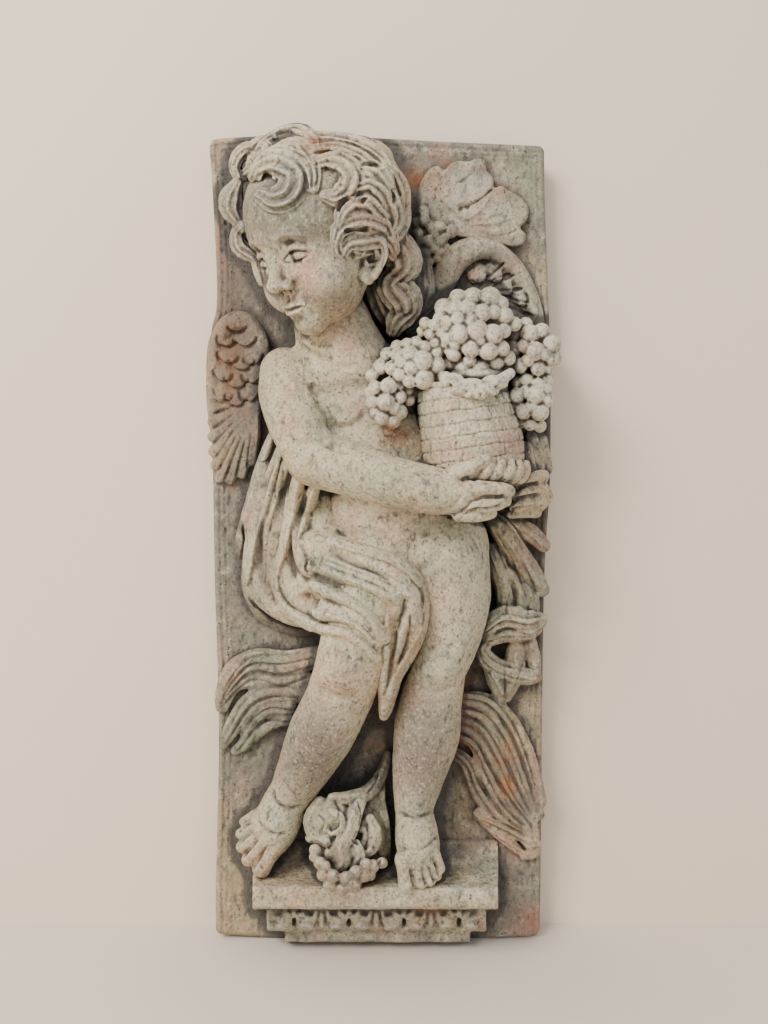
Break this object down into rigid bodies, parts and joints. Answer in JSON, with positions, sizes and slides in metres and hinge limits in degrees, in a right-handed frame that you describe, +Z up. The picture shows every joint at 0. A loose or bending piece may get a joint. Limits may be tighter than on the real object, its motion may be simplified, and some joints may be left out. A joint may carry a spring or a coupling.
{
  "type": "clay relief wall plaque",
  "caption": "Tall fired-clay wall relief of a winged child with drapery, carrying a basket of grapes, on a console.",
  "frame": {"origin": "middle of the flat back face of the slab, where it lies on the wall", "axes": "+Z up the panel, +Y into the wall, the figure faces -Y, +X to the viewer's right"},
  "size_m": [0.3559, 0.1822, 0.8204],
  "materials": {
    "fired_clay": "unglazed, matte, dusty grey-beige with darker dirt in the recesses and rust-coloured stains"
  },
  "bodies": {
    "root": {"clay_relief": "fired_clay"}
  },
  "joints": []
}
